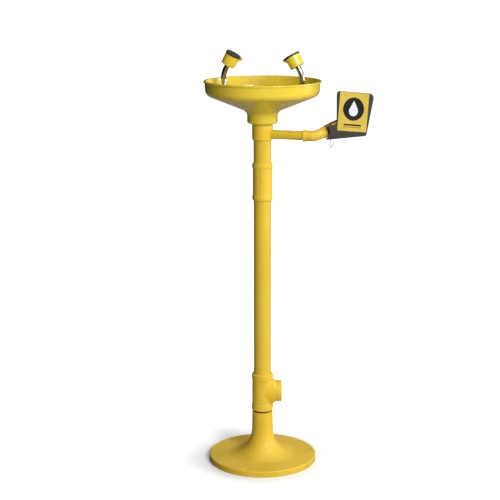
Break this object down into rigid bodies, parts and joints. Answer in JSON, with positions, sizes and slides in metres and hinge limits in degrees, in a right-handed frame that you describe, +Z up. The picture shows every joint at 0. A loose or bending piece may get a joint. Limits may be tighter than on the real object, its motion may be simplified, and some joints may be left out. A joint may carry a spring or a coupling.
{
  "type": "pedestal eyewash station",
  "caption": "Floor-standing eyewash: round base, pipe column with waste tee, dished bowl, angled spray heads with flip-top covers, and a side ball valve opened by a paddle.",
  "frame": {"origin": "centre of the base's floor face, on the column axis", "axes": "+Z up the column; +X from the column along the supply arm, in line with both spray heads; the user stands on the -Y side"},
  "size_m": [0.3898, 0.278, 1.0104],
  "materials": {
    "yellow_coat": "glossy yellow coating on cast iron and pipe",
    "bowl_plastic": "glossy yellow moulded plastic",
    "chrome_tube": "polished chrome plate",
    "cover_plastic": "dark moulded plastic",
    "paddle_coat": "dark grey textured coating",
    "sign_face": "printed yellow sign face",
    "brass": "forged brass, satin",
    "stainless": "stainless steel",
    "galvanised_pipe": "threaded steel nipple",
    "black_rubber": "flat rubber",
    "white_seat": "white fluoroplastic",
    "screen_foam": "open filter mesh"
  },
  "bodies": {
    "station": {"base_nipple": "galvanised_pipe", "bowl": "bowl_plastic", "bowl_gasket": "black_rubber", "bowl_locknut": "brass", "column_coupling": "yellow_coat", "cover_pin_left": "stainless", "cover_pin_right": "stainless", "drain_strainer": "stainless", "floor_flange": "yellow_coat", "flow_screen_left": "screen_foam", "flow_screen_right": "screen_foam", "gland_nut": "brass", "gooseneck_left": "chrome_tube", "gooseneck_right": "chrome_tube", "head_body_left": "bowl_plastic", "head_body_right": "bowl_plastic", "riser_tube": "chrome_tube", "spray_insert_left": "stainless", "spray_insert_right": "stainless", "stem_pipe_lower": "yellow_coat", "stem_pipe_upper": "yellow_coat", "supply_elbow": "yellow_coat", "supply_fitting": "yellow_coat", "supply_nipple": "yellow_coat", "valve_body": "brass", "valve_end_piece": "brass", "valve_nipple": "galvanised_pipe", "valve_seats": "white_seat", "waste_tee": "yellow_coat", "yoke": "chrome_tube", "yoke_nuts": "chrome_tube"},
    "paddle": {"flag_handle": "paddle_coat", "handle_screw": "stainless", "sign_plate": "sign_face", "valve_ball": "chrome_tube", "valve_stem": "brass"},
    "hook": {"tag_hook": "stainless"},
    "cover_left": {"dust_cover_left": "cover_plastic"},
    "cover_right": {"dust_cover_right": "cover_plastic"}
  },
  "joints": [
    {"name": "valve_turn", "type": "hinge", "parent": "station", "child": "paddle", "pos_m": [0.16924, 0.03497, 0.83182], "axis": [-0.6418, 0.7624, -0.0825], "range_deg": [0, 90]},
    {"name": "hook_swing", "type": "hinge", "parent": "paddle", "child": "hook", "pos_m": [0.16994, 0.00158, 0.81368], "axis": [0.6418, -0.7624, 0.0825], "range_deg": [-30, 100]},
    {"name": "cover_left_flip", "type": "hinge", "parent": "station", "child": "cover_left", "pos_m": [-0.05307, 0, 0.98859], "axis": [0, 1, 0], "range_deg": [0, 150]},
    {"name": "cover_right_flip", "type": "hinge", "parent": "station", "child": "cover_right", "pos_m": [0.05307, 0, 0.98859], "axis": [0, -1, 0], "range_deg": [0, 150]}
  ]
}
